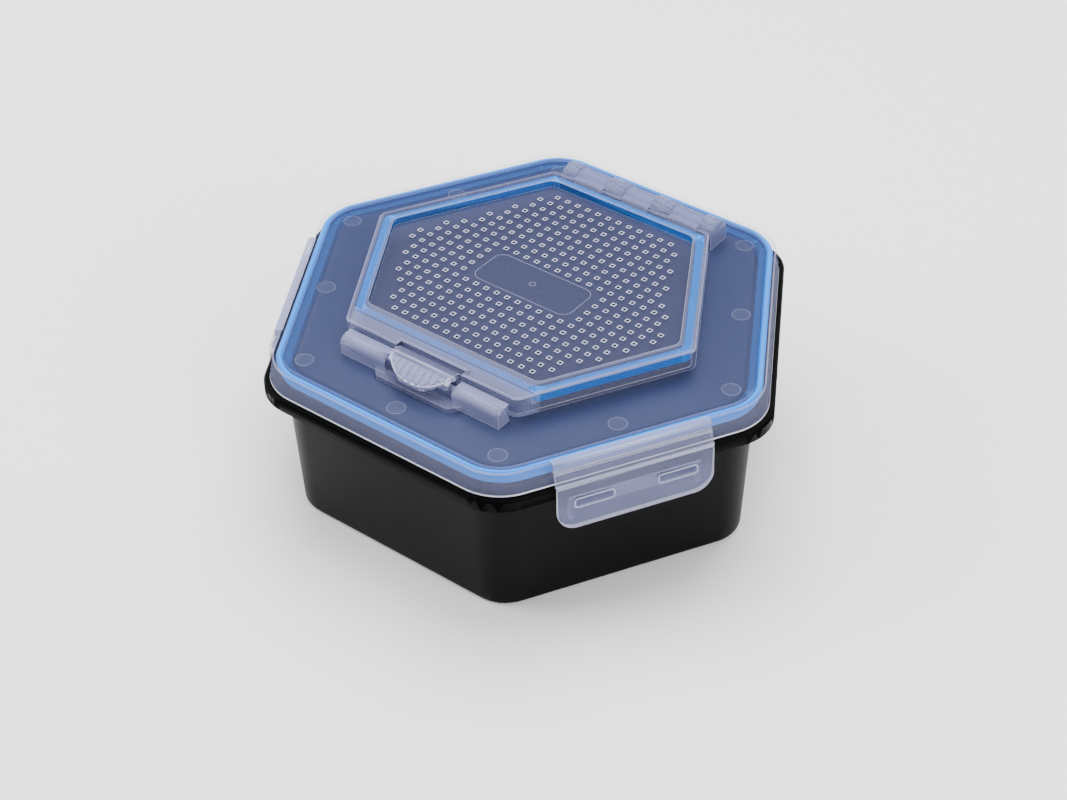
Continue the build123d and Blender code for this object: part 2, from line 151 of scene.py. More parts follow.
class BaitBoxMesh(bpy.types.PropertyGroup):
    """Sizes of the ventilation mesh and the outline in its middle."""

    pitch: length("Hole pitch", "Distance between neighbouring holes", 3.95)
    rim: length("Rim width", "Outer width of the raised rim round a hole", 1.5)
    rim_inside: length("Rim inside", "Inner width of the raised rim round a hole", 1.0)
    rim_height: length("Rim height", "Height of a rim above the mesh", 0.12)
    side: length("Well side", "Distance from the middle to a side of the well", 46.6)
    front: length("Well front", "Distance from the middle to the front of the well", 38.2)
    depth: length("Mesh depth", "Depth of the mesh below the hatch's top", 2.5)
    margin: length("Hole margin", "Least distance from a hole to a slanting side", 5.0)
    back_margin: length("Back margin", "Distance from the back row to the well's back", 4.5)
    front_margin: length("Front margin", "Least distance from the front row to the well's front", 4.0)
    plain_width: length("Plain width", "Width of the plain area", 40.0)
    plain_depth: length("Plain depth", "Depth of the plain area", 16.0)
    plain_offset: length("Plain offset", "How far the plain area lies behind the middle", 0.6)
    outline_width: length("Outline width", "Width of the raised outline", 36.0)
    outline_depth: length("Outline depth", "Depth of the raised outline", 15.0)
    outline_corner: length("Outline corner", "Corner radius of the raised outline", 3.5)
    outline_line: length("Outline line", "Width of the outline's line", 0.22)
    gate: length("Gate mark", "Radius of the mark of the injection gate", 1.1)


class BaitBoxMarks(bpy.types.PropertyGroup):
    """Sizes of the round ejector marks on the lid."""

    radius: length("Mark radius", "Radius of an ejector mark", 2.8)
    line: length("Mark line", "Width of a mark's raised line", 0.16)
    height: length("Mark height", "Height of a mark's raised line", 0.08)
    side_reach: length("Side reach", "Distance of a side's mark from the middle", 63.1)
    corner_reach: length("Corner reach", "Distance of a corner's mark from the middle", 71.8)
    border_rise: length("Border rise", "Height of the lid's border over its panel", 0.9)


class BaitBoxSeal(bpy.types.PropertyGroup):
    """Sizes of the lid seal's ridge inside the raised border."""

    ridge_reach: length("Ridge reach", "Distance of the ridge's outer side from the middle", 71.1)
    ridge_width: length("Ridge width", "Width of the ridge", 1.9)
    ridge_corner: length("Ridge corner", "Corner radius of the ridge's outer side", 14.4)
    ridge_top: length("Ridge top", "Depth of the ridge's top below the border's top", 0.5)
    ridge_foot: length("Ridge foot", "Depth of the ridge's foot below the border's top", 2.2)


class BaitBoxLatch(bpy.types.PropertyGroup):
    """Sizes of the thumb tongue's rim and crown ends, and of the ledge in front of it."""

    half_width: length("Half width", "Half the tongue's width", 11.0)
    crown_reach: length("Crown reach", "Distance of the crown line from the middle", 50.8)
    crown_depth: length("Crown depth", "Depth of the crown line below the hatch's top", 0.7)
    visor_reach: length("Visor reach", "How far the visor reaches out from the crown", 6.5)
    visor_drop: length("Visor drop", "How far the visor's lip lies below the crown", 3.6)
    side_reach: length("Side reach", "How far the visor's sides reach out from the crown", 0.5)
    sheet: length("Sheet", "Thickness of the tongue", 1.2)
    rim_radius: length("Rim radius", "Radius of the rounded rim along the visor's lip", 0.36)
    ear_radius: length("Ear radius", "Radius of the rounded bead at a crown end", 0.8)
    ear_depth: length("Ear depth", "Depth of that bead's top below the hatch's top", 0.42)
    ledge_half_width: length("Ledge half width", "Half the width of the ledge on the lid", 15.8)
    ledge_back: length("Ledge back", "Distance of the ledge's back from the middle", 52.2)
    ledge_front: length("Ledge front", "Distance of the ledge's front from the middle", 56.6)
    ledge_height: length("Ledge height", "Height of the ledge above the panel", 1.7)
    ledge_corner: length("Ledge corner", "Slant of the ledge's front corners", 2.8)
    ledge_edge: length("Ledge edge", "Roundness of the ledge's edges", 0.25)


class BaitBoxClips(bpy.types.PropertyGroup):
    """Sizes of the details on the side clips."""

    face_reach: length("Face reach", "Reach of the flap's face at the windows' height", 76.37)
    window_height: length("Window height", "Height of the windows' middle above the floor", 42.1)
    window_offset: length("Window offset", "Distance of a window from the clip's middle", 12.8)
    window_long: length("Rim length", "Length of the rim round a window", 12.4)
    window_high: length("Rim height", "Height of the rim round a window", 3.3)
    window_round: length("Rim round", "Corner radius of the rim round a window", 1.2)
    window_line: length("Rim line", "Width of the rim round a window", 0.24)
    window_proud: length("Rim proud", "How far the rim stands out of the flap", 0.25)
    draft: bpy.props.FloatProperty(
        name="Draft", description="Lean of the flap's face", default=radians(2.9), subtype="ANGLE")


class BaitBoxStage(bpy.types.PropertyGroup):
    """Camera, floor and lights."""

    azimuth: bpy.props.FloatProperty(
        name="Azimuth", description="Camera direction from the front towards the right",
        default=radians(38.158), subtype="ANGLE")
    elevation: bpy.props.FloatProperty(
        name="Elevation", description="Camera height above the floor as an angle",
        default=radians(39.227), subtype="ANGLE")
    roll: bpy.props.FloatProperty(
        name="Roll", description="Turn of the camera about its own line of sight",
        default=radians(-1.115), subtype="ANGLE")
    place: bpy.props.FloatVectorProperty(
        name="Camera place", description="Where the camera stands", size=3,
        default=(0.3168, -0.4032, 0.4345), subtype="TRANSLATION", unit="LENGTH")
    focal: bpy.props.FloatProperty(
        name="Focal length", description="Focal length in pixels of the picture's width",
        default=2113.4, min=1)
    picture: bpy.props.IntProperty(
        name="Picture width", description="Width of the picture in pixels", default=1067, min=1)
    clip_start: length("Clip start", "Nearest distance that the camera shows", 10)
    floor: colour("Floor", "Plain pale floor", "#F8F8F9")
    floor_size: length("Floor size", "Side of the floor", 6000)
    floor_roughness: share("Floor roughness", "Roughness of the floor", 0.65)
    floor_change: share("Floor change", "How much the floor's roughness drifts", 0.05)
    floor_clouds: length("Floor clouds", "Size of the clouds in the floor's sheen", 333)
    sky: bpy.props.FloatVectorProperty(
        name="Sky", description="Colour of the even light from all round", size=3,
        default=(0.9, 0.91, 0.95), min=0, max=1, subtype="COLOR")
    sky_strength: bpy.props.FloatProperty(
        name="Sky strength", description="Strength of the even light from all round",
        default=0.75, min=0)


POLYPROPYLENE_IOR = 1.49
SILICONE_IOR = 1.41
# How alike a face's own and its rounded normal are where an edge's painted highlight starts, and is
# full
EDGE_STARTS = 0.98
EDGE_FULL = 0.84
# The clear finishes that have no painted highlight along their edges
EVEN_FINISHES = ("panel", "mesh", "mark", "border", "seal_window", "soft")
# The finishes that aren't clear polypropylene
OTHER_FINISHES = {
    "tub": "black_polypropylene_satin",
    # The flange's finish is the tub's black painted darker and duller, as shade
    "flange": "black_polypropylene_painted_shade",
    "seal": "azure_silicone_moulded",
}


def settings():
    """The values as they are set in the sidebar."""
    return bpy.context.scene.bait_box


def add_node(tree, kind, options=None, inputs=None):
    """Adds a node with its options, and its inputs as values or as links from other sockets."""
    node = tree.nodes.new(kind)
    for name, value in (options or {}).items():
        setattr(node, name, value)
    for name, value in (inputs or {}).items():
        if isinstance(value, bpy.types.NodeSocket):
            tree.links.new(value, node.inputs[name])
        else:
            node.inputs[name].default_value = value
    return node


def new_material(name, inputs):
    """A new material whose shader has those inputs, with its node tree and shader."""
    material = bpy.data.materials.new(name)
    material.use_nodes = True
    tree = material.node_tree
    tree.nodes.clear()
    shader = add_node(tree, "ShaderNodeBsdfPrincipled", {}, inputs)
    add_node(tree, "ShaderNodeOutputMaterial", {}, {"Surface": shader.outputs["BSDF"]})
    return material, tree, shader


def drift_in_clouds(tree, socket, size, detail, middle, change):
    """Lets a shader's value drift by a little to both sides, in soft clouds of a real size."""
    place = add_node(tree, "ShaderNodeTexCoord")
    cloud = add_node(tree, "ShaderNodeTexNoise", {}, {
        "Vector": place.outputs["Object"], "Scale": 1 / size, "Detail": detail})
    drift = add_node(tree, "ShaderNodeMapRange", {}, {
        "Value": cloud.outputs["Fac"], "To Min": middle - change, "To Max": middle + change})
    tree.links.new(drift.outputs["Result"], socket)


def milky_polypropylene(name, tint, cover):
    """Clear polypropylene, injection moulded, with faint clouds of flow in the melt. The thicker
    the wall, the milkier it is."""
    finishes = settings().finishes
    material, tree, shader = new_material(name, {
        "Base Color": (*tint, 1), "Roughness": finishes.clear_roughness,
        "IOR": POLYPROPYLENE_IOR, "Specular IOR Level": finishes.clear_shine})
    drift_in_clouds(tree, shader.inputs["Alpha"], finishes.clear_clouds, 2,
                    cover, cover * finishes.flow_change)
    return material


def add_painted_edge_highlights(material):
    """Paints a near-white highlight, with more cover, along a clear moulding's edges, where the light
    leaves the wall.
    """
    finishes = settings().finishes
    tree = material.node_tree
    shader = next(node for node in tree.nodes if node.type == "BSDF_PRINCIPLED")
    flow = shader.inputs["Alpha"].links[0].from_socket
    tint = tuple(shader.inputs["Base Color"].default_value)
    rounded = add_node(tree, "ShaderNodeBevel", {"samples": 8}, {"Radius": finishes.edge_width})
    surface = add_node(tree, "ShaderNodeNewGeometry")
    alike = add_node(tree, "ShaderNodeVectorMath", {"operation": "DOT_PRODUCT"},
                     {0: rounded.outputs["Normal"], 1: surface.outputs["Normal"]})
    edge = add_node(tree, "ShaderNodeMapRange", {"interpolation_type": "SMOOTHSTEP"}, {
        "Value": alike.outputs["Value"], "From Min": EDGE_STARTS, "From Max": EDGE_FULL})
    # A mix node's sockets share their names, so they are taken by their places
    shade = add_node(tree, "ShaderNodeMix", {"data_type": "RGBA"}, {
        0: edge.outputs["Result"], 6: tint, 7: (*finishes.pale, 1)})
    hiding = add_node(tree, "ShaderNodeMix", {"data_type": "FLOAT"}, {
        0: edge.outputs["Result"], 2: flow, 3: finishes.highlight_cover})
    tree.links.new(shade.outputs[2], shader.inputs["Base Color"])
    tree.links.new(hiding.outputs[0], shader.inputs["Alpha"])
    tree.links.new(rounded.outputs["Normal"], shader.inputs["Normal"])
    return material


def black_polypropylene(name, tint, shine):
    """Black polypropylene, moulded: satin where the mould's steel is eroded, painted darker and duller
    on the flange as shade.
    """
    finishes = settings().finishes
    material, tree, shader = new_material(name, {
        "Base Color": (*tint, 1), "IOR": POLYPROPYLENE_IOR, "Specular IOR Level": shine})
    place = add_node(tree, "ShaderNodeTexCoord")
    grain = add_node(tree, "ShaderNodeTexNoise", {}, {
        "Vector": place.outputs["Object"], "Scale": 1 / finishes.tub_grain, "Detail": 3})
    rounded = add_node(tree, "ShaderNodeBevel", {"samples": 6}, {"Radius": finishes.edge_width})
    bump = add_node(tree, "ShaderNodeBump", {}, {
        "Height": grain.outputs["Fac"], "Strength": finishes.grain_strength,
        "Distance": finishes.grain_depth, "Normal": rounded.outputs["Normal"]})
    tree.links.new(bump.outputs["Normal"], shader.inputs["Normal"])
    drift_in_clouds(tree, shader.inputs["Roughness"], finishes.tub_clouds, 4,
                    finishes.tub_roughness, finishes.sheen_change)
    return material


def azure_silicone(name):
    """Azure silicone rubber, moulded: saturated, soft and slightly glossy."""
    finishes = settings().finishes
    material, tree, shader = new_material(name, {
        "Base Color": (*finishes.blue, 1), "IOR": SILICONE_IOR,
        "Specular IOR Level": finishes.seal_shine})
    drift_in_clouds(tree, shader.inputs["Roughness"], finishes.seal_clouds, 3,
                    finishes.seal_roughness, finishes.sheen_change)
    return material


def painted_board():
    """Matt pale studio floor, painted: nearly even."""
    stage = settings().stage
    material, tree, shader = new_material("studio_floor_matt", {"Base Color": (*stage.floor, 1)})
    drift_in_clouds(tree, shader.inputs["Roughness"], stage.floor_clouds, 2,
                    stage.floor_roughness, stage.floor_change)
    return material


def clear_finish(name):
    """Tint and cover of the clear polypropylene, by how thick the wall is and how it is lit."""
    finishes = settings().finishes
    return {
        "border": (finishes.lilac, finishes.border_cover),
        "seal_window": (finishes.lilac, finishes.window_cover),
        "rim": (finishes.lilac, finishes.rim_cover),
        "web": (finishes.milk, finishes.web_cover),
        # Soft paints the fine raised rims light: partly their milky moulding, partly a painted
        # highlight
        "soft": (finishes.soft, finishes.highlight_cover),
        "clip": (finishes.lilac, finishes.clip_cover),
        # Thick also paints a highlight on the bevels along the lid's and hatch's top edges
        "thick": (finishes.milk, finishes.thick_cover),
        "dense": (finishes.dim, finishes.dense_cover),
        "mark": (finishes.lilac, finishes.mark_cover),
        "panel": (finishes.panel, finishes.panel_cover),
        "mesh": (finishes.mesh, finishes.panel_cover),
        # Pale paints a highlight on edge-on faces and on the skirt's foot
        "pale": (finishes.pale, finishes.highlight_cover),
    }[name]


def finish_named(name):
    """The finish of that name, made once."""
    finishes = settings().finishes
    full_name = OTHER_FINISHES.get(name, "clear_polypropylene_" + name)
    material = bpy.data.materials.get(full_name)
    if material:
        return material
    if name == "tub":
        return black_polypropylene(full_name, finishes.black, finishes.tub_shine)
    # The flange is painted darker and duller than the tub, as shade under the skirt
    if name == "flange":
        return black_polypropylene(full_name, finishes.shaded_flange_black, finishes.flange_shine)
    if name == "seal":
        return azure_silicone(full_name)
    material = milky_polypropylene(full_name, *clear_finish(name))
    return material if name in EVEN_FINISHES else add_painted_edge_highlights(material)


def panel_height():
    """Top of the lid's flat panel."""
    return LID_TOP - settings().marks.border_rise


def mesh_height():
    """Top of the hatch's mesh."""
    return HATCH_TOP - settings().mesh.depth


def deselect():
    """Leaves edit mode and deselects everything."""
    if bpy.context.mode != "OBJECT":
        bpy.ops.object.mode_set(mode="OBJECT")
    bpy.ops.object.select_all(action="DESELECT")


def take(piece):
    """Makes a piece the only one selected, and the active one."""
    deselect()
    piece.select_set(True)
    bpy.context.view_layer.objects.active = piece


def edit_all():
    """Goes into edit mode with the whole active piece selected."""
    bpy.ops.object.mode_set(mode="EDIT")
    bpy.ops.mesh.select_all(action="SELECT")


def copied(first):
    """A copy of a piece, with a mesh of its own."""
    piece = first.copy()
    piece.data = first.data.copy()
    bpy.context.scene.collection.objects.link(piece)
    return piece


def repeated(first, places):
    """One piece out of copies of a piece, one at each place."""
    pieces = [first, *(copied(first) for place in places[1:])]
    for piece, place in zip(pieces, places):
        piece.location = place
    take(first)
    for piece in pieces:
        piece.select_set(True)
    bpy.ops.object.join()
    return first


def apply_modifier(piece, kind, name, **options):
    """Adds a modifier with its options and makes its result the piece's own shape."""
    take(piece)
    modifier = piece.modifiers.new(name, kind)
    for option, value in options.items():
        setattr(modifier, option, value)
    bpy.ops.object.modifier_apply(modifier=modifier.name)


def settle(piece, name, body, finish):
    """Puts a finished piece's place into its mesh, and gives it its name, finish and body."""
    take(piece)
    bpy.ops.object.transform_apply(location=True, rotation=True, scale=True)
    piece.name = name
    piece.data.name = name
    piece.data.materials.clear()
    piece.data.materials.append(finish_named(finish))
    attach(piece, body)


# Corners of a CAD mesh that lie nearer than this are one corner
WELD_REACH = 0.002 * MM
# Faces that meet at less than this angle shade as one surface, apart from level ones
SMOOTH_ANGLE = radians(28)
FLAT = 0.9995


def dressed(node, name, body, finish, cuts=()):
    """A moulding with the shape of its CAD node, merged so that its round corners shade smoothly.
    It is cut along planes, each a place and a direction, where two finishes part."""
    piece = bpy.data.objects.new(name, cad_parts[node].data.copy())
    bpy.context.scene.collection.objects.link(piece)
    take(piece)
    edit_all()
    bpy.ops.mesh.remove_doubles(threshold=WELD_REACH)
    bpy.ops.mesh.dissolve_degenerate(threshold=WELD_REACH)
    for place, direction in cuts:
        bpy.ops.mesh.select_all(action="SELECT")
        bpy.ops.mesh.bisect(plane_co=place, plane_no=direction)
    bpy.ops.object.mode_set(mode="OBJECT")
    bpy.ops.object.shade_smooth_by_angle(angle=SMOOTH_ANGLE)
    for face in piece.data.polygons:
        if abs(face.normal.z) > FLAT:
            face.use_smooth = False
    settle(piece, name, body, finish)
    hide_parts(node)
    return piece


def refinish(piece, *regions):
    """Gives regions of a piece another finish. Each is a finish and a test of a face's centre and
    normal, and where two overlap, the later one holds."""
    for finish, chosen in regions:
        piece.data.materials.append(finish_named(finish))
        slot = len(piece.data.materials) - 1
        for face in piece.data.polygons:
            if chosen(face.center, face.normal):
                face.material_index = slot


def heading(angle):
    """The level direction of an angle in degrees."""
    return Vector((cos(radians(angle)), sin(radians(angle)), 0))


def side_cuts(angles, *reaches):
    """Upright planes at those reaches, across the sides that face in those directions."""
    return [(heading(angle) * reach, heading(angle)) for angle in angles for reach in reaches]


def outward(place, angle):
    """How far a place lies from the middle in the direction of the angle in degrees."""
    return place.x * cos(radians(angle)) + place.y * sin(radians(angle))


def apothem(place):
    """How far a place lies from the middle, measured across the nearest flat side."""
    return max(outward(place, angle) for angle in SIDES)


# Bounds of the regions that have their own finish. Of a face's normal, LEVEL or more points up or
# down on a level face, and SLANTED or more on a bevel. On a face that is seen edge-on from above, or
# from outside a clip, EDGE_ON or less of it points that way.
LEVEL = 0.9
SLANTED = 0.5
EDGE_ON = 0.35
# A face that lies nearer than this to a height is on it
NEAR = 0.05 * MM
BEVEL = 0.45 * MM
# Least and most depth of the underside of the lid's panel below the top
PANEL_UNDERSIDE = (0.5 * MM, 1.4 * MM)
# Most depth of the border's wall, and least and most reach of the step up to the border
BORDER_WALL = 1.6 * MM
BORDER_STEP = (62 * MM, 69.5 * MM)
# Below this height the skirt's outer face carries a painted highlight line
SKIRT_FOOT = LID_TOP - 6.7 * MM
# What stands on the lid, from front to back
LATCH_SURROUND = (-58 * MM, -48.4 * MM)
KNUCKLES = (53 * MM, 62.6 * MM)
KNUCKLES_HALF_WIDTH = 31 * MM
# The bar that carries a clip. Its low outer faces lie beyond the second reach.
ROOT_REACH = 71 * MM
ROOT_OUTSIDE = 72.1 * MM
ROOT_HALF_WIDTH = 24.1 * MM
ROOT_FOOT = 53.3 * MM
# On the hatch: the well's reach, the mesh's thickness, and the places of the front rim and the leaf
WELL_REACH = 48 * MM
MESH_WALL = 1.3 * MM
WIDE_RIM_BACK = -41.9 * MM
LEAF_FRONT = 51.45 * MM
# Depth of the tub's flange without its lower edge
FLANGE_DEPTH = 5.6 * MM
# A flap: the top of its lower half, the back of its plate, the front of the catch behind it, the
# top of its narrow sides, and half the length and the low edge of its windows
FLAP_FOOT = 42.3 * MM
FLAP_BACK = 75.4 * MM
CATCH_FRONT = 75.35 * MM
FLAP_SIDES_TOP = 47.3 * MM
WINDOW_HALF_LENGTH = 5.8 * MM
WINDOW_FOOT = 40.8 * MM


def between(value, bounds):
    """Whether a value lies between two bounds."""
    return bounds[0] < value < bounds[1]


def is_panel(centre, normal):
    """On the top of the lid's panel, or on its underside as far out as the seal."""
    depth = panel_height() - centre.z
    if normal.z > LEVEL:
        return abs(depth) < NEAR
    underside = between(depth, PANEL_UNDERSIDE) and normal.z < -LEVEL
    return underside and apothem(centre) < LID_SEAL_INSIDE


def is_seal_window(centre, normal):
    """On the flat top or underside of the lid's border, over the seal."""
    in_wall = between(LID_TOP - centre.z, (-NEAR, BORDER_WALL))
    return in_wall and abs(normal.z) > LEVEL and apothem(centre) > LID_SEAL_INSIDE


def is_border_step(centre, normal):
    """On the low wall where the lid's border rises from the panel."""
    rising = panel_height() + NEAR < centre.z < LID_TOP - NEAR
    return rising and abs(normal.z) < EDGE_ON and between(apothem(centre), BORDER_STEP)


def is_bevel(top, centre, normal):
    """On the bevel under a level top, where a highlight is painted with the thick finish."""
    return between(top - centre.z, (NEAR, BEVEL)) and SLANTED < normal.z < LEVEL


def is_lid_bevel(centre, normal):
    """On the bevel along the border's outer edge, where a highlight is painted."""
    return is_bevel(LID_TOP, centre, normal) and apothem(centre) > TURN_REACH


def is_skirt_foot(centre, normal):
    """On the lowest strip of the skirt's outer face, which carries a painted highlight line."""
    outwards = normal.x * centre.x + normal.y * centre.y > 0
    return centre.z < SKIRT_FOOT and apothem(centre) > TURN_REACH and outwards


def is_latch_surround(centre, normal):
    """On the shoulders or catch wall that stand on the lid's front."""
    return centre.z > panel_height() + NEAR and between(centre.y, LATCH_SURROUND)


def is_knuckle(centre, normal):
    """On the hinge knuckles or bar that stand on the lid's back."""
    standing = centre.z > panel_height() + NEAR and between(centre.y, KNUCKLES)
    return standing and abs(centre.x) < KNUCKLES_HALF_WIDTH


def is_clip_root(centre, normal):
    """On the bars at the lid's edge that carry the clips."""
    for angle in CLIP_ANGLES.values():
        reach = outward(centre, angle)
        in_bar = abs(outward(centre, angle + 90)) < ROOT_HALF_WIDTH and centre.z > ROOT_FOOT
        outside = reach > ROOT_OUTSIDE or centre.z > LID_TOP + NEAR
        if in_bar and outside and reach > ROOT_REACH:
            return True
    return False


def is_mesh(centre, normal):
    """On the hatch's sunk mesh."""
    return between(mesh_height() - centre.z, (-NEAR, MESH_WALL)) and apothem(centre) < WELL_REACH


def is_wall_top(centre, normal):
    """On the hatch's flat top, right over its outer or inner wall."""
    reach = max(outward(centre, angle) for angle in HATCH_SIDES)
    over_seal = SEAL_INSIDE < reach < SEAL_OUTSIDE
    return normal.z > LEVEL and centre.z > HATCH_TOP - NEAR and not over_seal


def is_wide_rim(centre, normal):
    """On the hatch's wide front rim, in front of the seal."""
    return centre.y < WIDE_RIM_BACK


def is_hinge_leaf(centre, normal):
    """On the hatch's hinge hooks and the leaf that carries them."""
    return centre.y > LEAF_FRONT


def is_flange(centre, normal):
    """On the tub's flange, above its lower edge, which is painted darker as shade under the lid's
    skirt.
    """
    return centre.z > TUB_TOP - FLANGE_DEPTH and apothem(centre) > TURN_REACH


def is_flap_foot(centre, normal):
    """On the flap's lower half, which the catch ledge stiffens."""
    return centre.z < FLAP_FOOT


def is_flap_edge(angle, centre, normal):
    """On the narrow faces round a flap's sides and foot, and not round its windows: the faces that get
    a painted highlight.
    """
    from_window = abs(outward(centre, angle + 90)) - settings().clips.window_offset
    at_window = abs(from_window) < WINDOW_HALF_LENGTH and centre.z > WINDOW_FOOT
    in_plate = outward(centre, angle) > FLAP_BACK and centre.z < FLAP_SIDES_TOP
    return abs(outward(normal, angle)) < EDGE_ON and in_plate and not at_window


def is_catch(angle, centre, normal):
    """On the catch ledge and gussets behind a flap."""
    return outward(centre, angle) < CATCH_FRONT


def round_corners(radius, segments):
    """Rounds the corners of the active piece's flat face."""
    edit_all()
    bpy.ops.mesh.bevel(affect="VERTICES", offset=radius, segments=segments)


def raised_line(line, height):
    """Turns the flat face of the active piece into a raised line along its outline."""
    piece = bpy.context.object
    edit_all()
    bpy.ops.mesh.inset(thickness=line, use_boundary=True)
    bpy.ops.mesh.delete(type="FACE")
    bpy.ops.object.mode_set(mode="OBJECT")
    apply_modifier(piece, "SOLIDIFY", "line_height", thickness=height, offset=1.0)
    apply_modifier(piece, "BEVEL", "soft_edge", width=height / 3, segments=1)
    return piece


class BAITBOX_OT_tub(bpy.types.Operator):
    """Dress the black tub"""

    bl_idname = "bait_box.tub"
    bl_label = "Tub"

    def execute(self, context):
        tub = dressed("tub", "tub_moulding", "tub", "tub")
        # The flange is painted in shade, darker and duller than the rest of the tub
        refinish(tub, ("flange", is_flange))
        return {"FINISHED"}


class BAITBOX_OT_lid(bpy.types.Operator):
    """Dress the clear main lid and raise the ledge in front of the thumb tongue on it"""

    bl_idname = "bait_box.lid"
    bl_label = "Main lid"

    def execute(self, context):
        cuts = [((0, 0, SKIRT_FOOT), UP), *side_cuts(SIDES, LID_SEAL_INSIDE)]
        lid = dressed("main_lid", "lid_moulding", "lid", "border", cuts)
        # The skirt's foot gets a painted highlight line, and the border's bevel gets the thick finish
        # as a painted highlight
        refinish(lid, ("seal_window", is_seal_window), ("panel", is_panel), ("pale", is_skirt_foot),
                 ("thick", is_lid_bevel), ("thick", is_border_step), ("thick", is_latch_surround),
                 ("thick", is_clip_root), ("dense", is_knuckle))
        self.latch_ledge()
        return {"FINISHED"}

    def latch_ledge(self):
        """Raises the low ledge with slanted ends on the panel in front of the thumb tongue."""
        latch = settings().latch
        deselect()
        depth = latch.ledge_front - latch.ledge_back
        bpy.ops.mesh.primitive_cube_add(size=1, location=(
            0, -latch.ledge_back - depth / 2, panel_height() + latch.ledge_height / 2))
        ledge = bpy.context.object
        ledge.scale = (2 * latch.ledge_half_width, depth, latch.ledge_height)
        bpy.ops.object.transform_apply(location=False, rotation=False, scale=True)
        bpy.ops.object.mode_set(mode="EDIT")
        bpy.ops.mesh.select_mode(type="EDGE")
        bpy.ops.mesh.select_all(action="DESELECT")
        bpy.ops.object.mode_set(mode="OBJECT")
        # The upright edges at the front get the slant
        for edge in ledge.data.edges:
            ends = [ledge.data.vertices[corner].co for corner in edge.vertices]
            edge.select = all(end.y < 0 for end in ends) and abs(ends[0].z - ends[1].z) > 0
        bpy.ops.object.mode_set(mode="EDIT")
        bpy.ops.mesh.bevel(offset=latch.ledge_corner, segments=1)
        bpy.ops.object.mode_set(mode="OBJECT")
        apply_modifier(ledge, "BEVEL", "soft_edge", width=latch.ledge_edge, segments=2)
        settle(ledge, "latch_ledge", "lid", "web")


class BAITBOX_OT_seals(bpy.types.Operator):
    """Dress the two blue seals and raise the ridge that shows inside the lid's border"""

    bl_idname = "bait_box.seals"
    bl_label = "Seals"

    def execute(self, context):
        dressed("main_seal", "lid_seal_ring", "lid", "seal")
        dressed("hatch_seal", "hatch_seal_ring", "hatch", "seal")
        seal = settings().seal
        deselect()
        bpy.ops.mesh.primitive_circle_add(
            vertices=6, radius=seal.ridge_reach / cos(HALF_SIDE), fill_type="NGON",
            location=(0, 0, LID_TOP - seal.ridge_foot), rotation=(0, 0, HALF_SIDE))
        round_corners(seal.ridge_corner * tan(HALF_SIDE), 10)
        ridge = raised_line(seal.ridge_width, seal.ridge_foot - seal.ridge_top)
        settle(ridge, "lid_seal_ridge", "lid", "seal")
        return {"FINISHED"}


class BAITBOX_OT_hatch(bpy.types.Operator):
    """Dress the ventilated hatch with its double wall, sunk mesh and hinge hooks"""

    bl_idname = "bait_box.hatch"
    bl_label = "Vent hatch"

    def execute(self, context):
        cuts = [((0, WIDE_RIM_BACK, 0), (0, 1, 0)),
                *side_cuts(HATCH_SIDES, SEAL_OUTSIDE, SEAL_INSIDE)]
        hatch = dressed("vent_hatch", "hatch_moulding", "hatch", "rim", cuts)
        # The bevel under the hatch's top gets the thick finish as a painted highlight
        refinish(hatch, ("web", is_wall_top), ("web", is_wide_rim), ("mesh", is_mesh),
                 ("dense", is_hinge_leaf), ("thick", partial(is_bevel, HATCH_TOP)))
        return {"FINISHED"}


def bead(points, radius, name):
    """A round bead along a curve with a start, two handles and an end."""
    deselect()
    bpy.ops.curve.primitive_bezier_curve_add(location=(0, 0, 0))
    curve = bpy.context.object
    first, last = curve.data.splines[0].bezier_points
    for point in (first, last):
        point.handle_left_type = "FREE"
        point.handle_right_type = "FREE"
    start, start_handle, end_handle, end = (Vector(point) for point in points)
    first.co, first.handle_left, first.handle_right = start, start, start_handle
    last.co, last.handle_left, last.handle_right = end, end_handle, end
    curve.data.resolution_u = 16
    curve.data.bevel_depth = radius
    curve.data.bevel_resolution = 3
    curve.data.use_fill_caps = True
    curve.name = name
    bpy.ops.object.convert(target="MESH")
    return bpy.context.object


# Share of the visor's drop that is an even slope, while the rest grows with the reach's square
VISOR_SLOPE = 0.2


def visor_top(out):
    """Height of the visor's upper face at a reach out from the crown."""
    latch = settings().latch
    share_out = out / latch.visor_reach
    drop = latch.visor_drop * (VISOR_SLOPE * share_out + (1 - VISOR_SLOPE) * share_out ** 2)
    return HATCH_TOP - latch.crown_depth + latch.sheet / 2 - drop


def visor_lip(x):
    """Reach of the visor's bowed lip out from the crown, at a distance from the middle."""
    latch = settings().latch
    bow = latch.visor_reach - latch.side_reach
    radius = (latch.half_width ** 2 + bow ** 2) / (2 * bow)
    return latch.visor_reach - radius + (radius ** 2 - x ** 2) ** 0.5


def handle_for(middle, end):
    """Where both handles of an even curve lie, for its middle to come out as given."""
    return (8 * middle - 2 * end) / 6


# How far out the handles of the rim's curve lie, as a share of half its width
RIM_HANDLES = 0.62
# A crown end's curve: how far its start, handles and end lie behind the crown line, and how far
# above the bead's height
EAR_CURVE = (
    (1.1 * MM, -0.8 * MM),
    (0.7 * MM, 0.4 * MM),
    (-1.0 * MM, 0.5 * MM),
    (-2.0 * MM, -0.9 * MM),
)


